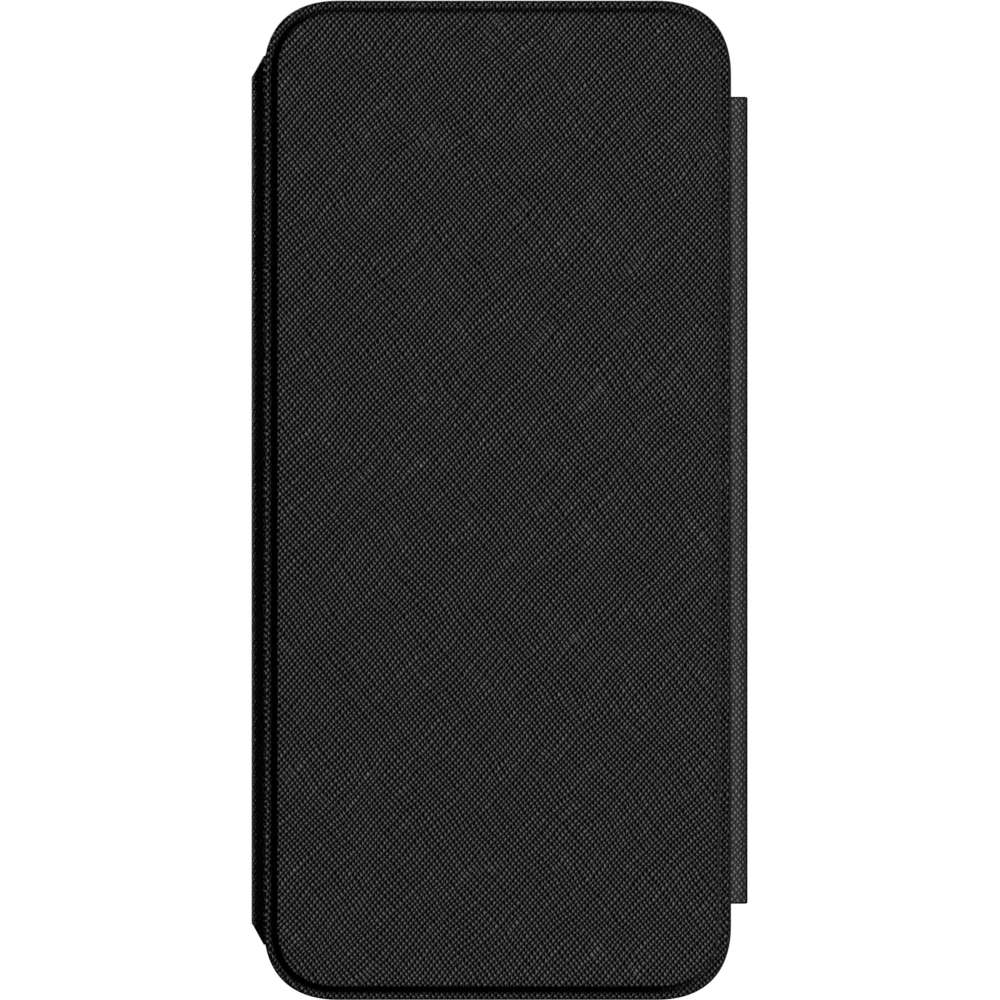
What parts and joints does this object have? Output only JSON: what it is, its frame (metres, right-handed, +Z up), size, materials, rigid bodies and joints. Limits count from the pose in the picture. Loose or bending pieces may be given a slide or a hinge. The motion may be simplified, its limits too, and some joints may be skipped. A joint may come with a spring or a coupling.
{
  "type": "phone wallet case",
  "caption": "Book-style phone wallet case, shut: snap-in tray, flat spine, padded cover with card pockets, and a magnetic side flap.",
  "frame": {"origin": "centre of the phone's seat, on the face of the tray's soft lining", "axes": "+X towards the closure flap, -Y out through the shut front cover, +Z up along the phone"},
  "size_m": [0.0837, 0.017, 0.1686],
  "materials": {
    "grained_leather": "black, cross-hatch embossed grain, satin",
    "smooth_lining": "black smooth leather-look sheet, matt",
    "microfibre": "short soft nap",
    "tray_plastic": "fine matt texture",
    "trim_plastic": "satin-gloss",
    "steel": "black brushed",
    "magnet_plating": "nickel plated",
    "board": "grey board",
    "foam": "soft sheet foam",
    "thread": "twisted polyester"
  },
  "bodies": {
    "tray": {"tray_shell": "tray_plastic", "tray_lining": "microfibre", "camera_trim": "trim_plastic", "catch_plate_upper": "steel", "catch_plate_lower": "steel", "back_leather": "grained_leather", "back_fold": "grained_leather"},
    "volume_up": {"volume_up_button": "tray_plastic"},
    "volume_down": {"volume_down_button": "tray_plastic"},
    "power": {"power_button": "tray_plastic"},
    "spine": {"spine_leather": "grained_leather", "spine_board": "board", "spine_lining": "smooth_lining", "front_fold": "grained_leather"},
    "cover": {"cover_leather": "grained_leather", "cover_foam": "foam", "cover_board": "board", "cover_lining": "smooth_lining", "cash_pocket": "smooth_lining", "card_pocket_upper": "smooth_lining", "card_pocket_middle": "smooth_lining", "card_pocket_lower": "smooth_lining", "pocket_stitching": "thread", "flap_fold": "grained_leather"},
    "flap": {"flap_leather": "grained_leather", "flap_board": "board", "flap_lining": "smooth_lining", "flap_magnet_upper": "magnet_plating", "flap_magnet_lower": "magnet_plating"}
  },
  "joints": [
    {"name": "spine_hinge", "type": "hinge", "parent": "tray", "child": "spine", "pos_m": [-0.04072, 0.0015, 0], "axis": [0, 0, -1], "range_deg": [0, 180], "deforming": ["back_fold"]},
    {"name": "cover_hinge", "type": "hinge", "parent": "spine", "child": "cover", "pos_m": [-0.04072, -0.0128, 0], "axis": [0, 0, -1], "range_deg": [0, 180], "deforming": ["front_fold"]},
    {"name": "flap_hinge", "type": "hinge", "parent": "cover", "child": "flap", "pos_m": [0.04156, -0.01291, 0], "axis": [0, 0, -1], "range_deg": [0, 180], "deforming": ["flap_fold"]},
    {"name": "volume_up_press", "type": "slide", "parent": "tray", "child": "volume_up", "axis": [-1, 0, 0], "range_m": [0, 0.0003]},
    {"name": "volume_down_press", "type": "slide", "parent": "tray", "child": "volume_down", "axis": [-1, 0, 0], "range_m": [0, 0.0003]},
    {"name": "power_press", "type": "slide", "parent": "tray", "child": "power", "axis": [-1, 0, 0], "range_m": [0, 0.0003]}
  ]
}
